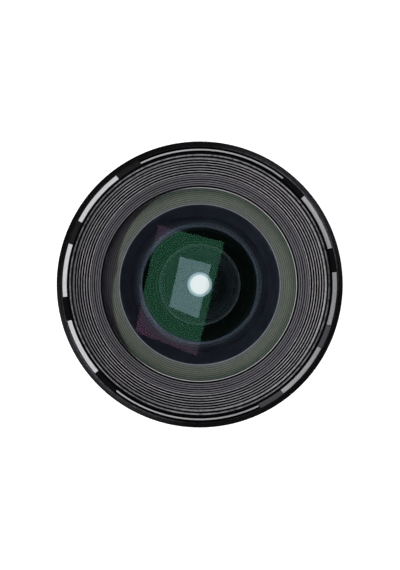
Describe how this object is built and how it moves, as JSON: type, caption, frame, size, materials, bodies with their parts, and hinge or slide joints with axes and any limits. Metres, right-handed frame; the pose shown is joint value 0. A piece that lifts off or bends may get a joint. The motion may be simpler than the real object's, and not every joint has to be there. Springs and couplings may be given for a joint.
{
  "type": "cine lens",
  "caption": "Wide-angle cine prime lens with geared focus and iris rings, a ribbed front baffle, coated glass and a bladed iris.",
  "frame": {"origin": "centre of the mount flange's seat face, on the optical axis", "axes": "+Z along the optical axis towards the subject, +X to the right and +Y up as the picture shows the front"},
  "size_m": [0.095, 0.095, 0.132],
  "materials": {
    "black_anodised": "satin black anodised",
    "inner_black": "matt black anodised",
    "matt_black": "dead matt black",
    "gloss_black": "gloss black",
    "mount_steel": "turned stainless steel",
    "keeper_steel": "brushed steel",
    "screw_steel": "hardened steel",
    "blade_steel": "blackened spring steel",
    "key_brass": "turned brass",
    "front_glass": "polished, anti-reflection coated",
    "coated_glass": "polished, anti-reflection coated"
  },
  "bodies": {
    "base": {"mount_flange": "mount_steel", "mount_shims": "mount_steel", "mount_screws": "screw_steel", "rear_guard": "inner_black", "rear_barrel": "black_anodised", "core_tube": "black_anodised", "middle_barrel": "black_anodised", "front_barrel": "black_anodised", "front_ring": "black_anodised", "keeper_plates": "keeper_steel", "keeper_strips": "keeper_steel", "spacer_blocks": "gloss_black", "front_cell": "matt_black", "front_element": "front_glass", "second_element": "coated_glass", "second_clamp_ring": "matt_black", "front_clamp_ring": "matt_black", "light_baffle": "matt_black", "iris_base": "inner_black", "iris_cover": "matt_black", "rear_cell": "inner_black", "seventh_element": "coated_glass", "eighth_element": "coated_glass", "ninth_element": "coated_glass", "rear_element": "coated_glass", "rear_spacer": "inner_black", "rear_clamp_ring": "inner_black"},
    "focus_ring": {"focus_ring": "black_anodised", "focus_gear": "black_anodised", "cam_tube": "black_anodised", "drive_keys": "key_brass"},
    "focus_group": {"focus_cell": "inner_black", "cam_rollers": "screw_steel", "third_element": "coated_glass", "fourth_element": "coated_glass", "fifth_element": "coated_glass", "sixth_element": "coated_glass", "focus_spacer": "inner_black", "focus_clamp_ring": "inner_black"},
    "iris_ring": {"iris_ring": "black_anodised", "iris_gear": "black_anodised", "iris_actuator": "black_anodised", "iris_link": "screw_steel"},
    "iris_blade_1": {"iris_blade_1": "blade_steel"},
    "iris_blade_2": {"iris_blade_2": "blade_steel"},
    "iris_blade_3": {"iris_blade_3": "blade_steel"},
    "iris_blade_4": {"iris_blade_4": "blade_steel"},
    "iris_blade_5": {"iris_blade_5": "blade_steel"},
    "iris_blade_6": {"iris_blade_6": "blade_steel"},
    "iris_blade_7": {"iris_blade_7": "blade_steel"},
    "iris_blade_8": {"iris_blade_8": "blade_steel"},
    "iris_blade_9": {"iris_blade_9": "blade_steel"}
  },
  "joints": [
    {"name": "focus_turn", "type": "hinge", "parent": "base", "child": "focus_ring", "pos_m": [0, 0, 0.067], "axis": [0, 0, 1], "range_deg": [0, 180]},
    {"name": "focus_slide", "type": "slide", "parent": "base", "child": "focus_group", "axis": [0, 0, -1], "range_m": [0, 0.0061]},
    {"name": "iris_turn", "type": "hinge", "parent": "base", "child": "iris_ring", "pos_m": [0, 0, 0.032], "axis": [0, 0, 1], "range_deg": [0, 75]},
    {"name": "iris_blade_1_swing", "type": "hinge", "parent": "base", "child": "iris_blade_1", "pos_m": [0.011, 0, 0.0346], "axis": [0, 0, 1], "range_deg": [0, 38]},
    {"name": "iris_blade_2_swing", "type": "hinge", "parent": "base", "child": "iris_blade_2", "pos_m": [0.00843, 0.00707, 0.0346], "axis": [0, 0, 1], "range_deg": [0, 38]},
    {"name": "iris_blade_3_swing", "type": "hinge", "parent": "base", "child": "iris_blade_3", "pos_m": [0.00191, 0.01083, 0.0346], "axis": [0, 0, 1], "range_deg": [0, 38]},
    {"name": "iris_blade_4_swing", "type": "hinge", "parent": "base", "child": "iris_blade_4", "pos_m": [-0.0055, 0.00953, 0.0346], "axis": [0, 0, 1], "range_deg": [0, 38]},
    {"name": "iris_blade_5_swing", "type": "hinge", "parent": "base", "child": "iris_blade_5", "pos_m": [-0.01034, 0.00376, 0.0346], "axis": [0, 0, 1], "range_deg": [0, 38]},
    {"name": "iris_blade_6_swing", "type": "hinge", "parent": "base", "child": "iris_blade_6", "pos_m": [-0.01034, -0.00376, 0.0346], "axis": [0, 0, 1], "range_deg": [0, 38]},
    {"name": "iris_blade_7_swing", "type": "hinge", "parent": "base", "child": "iris_blade_7", "pos_m": [-0.0055, -0.00953, 0.0346], "axis": [0, 0, 1], "range_deg": [0, 38]},
    {"name": "iris_blade_8_swing", "type": "hinge", "parent": "base", "child": "iris_blade_8", "pos_m": [0.00191, -0.01083, 0.0346], "axis": [0, 0, 1], "range_deg": [0, 38]},
    {"name": "iris_blade_9_swing", "type": "hinge", "parent": "base", "child": "iris_blade_9", "pos_m": [0.00843, -0.00707, 0.0346], "axis": [0, 0, 1], "range_deg": [0, 38]}
  ],
  "couplings": [
    {"joint": "focus_slide", "follows": "focus_turn", "m_per_rad": 0.0019099},
    {"joint": "iris_blade_1_swing", "follows": "iris_turn", "ratio": 0.5},
    {"joint": "iris_blade_2_swing", "follows": "iris_turn", "ratio": 0.5},
    {"joint": "iris_blade_3_swing", "follows": "iris_turn", "ratio": 0.5},
    {"joint": "iris_blade_4_swing", "follows": "iris_turn", "ratio": 0.5},
    {"joint": "iris_blade_5_swing", "follows": "iris_turn", "ratio": 0.5},
    {"joint": "iris_blade_6_swing", "follows": "iris_turn", "ratio": 0.5},
    {"joint": "iris_blade_7_swing", "follows": "iris_turn", "ratio": 0.5},
    {"joint": "iris_blade_8_swing", "follows": "iris_turn", "ratio": 0.5},
    {"joint": "iris_blade_9_swing", "follows": "iris_turn", "ratio": 0.5}
  ]
}
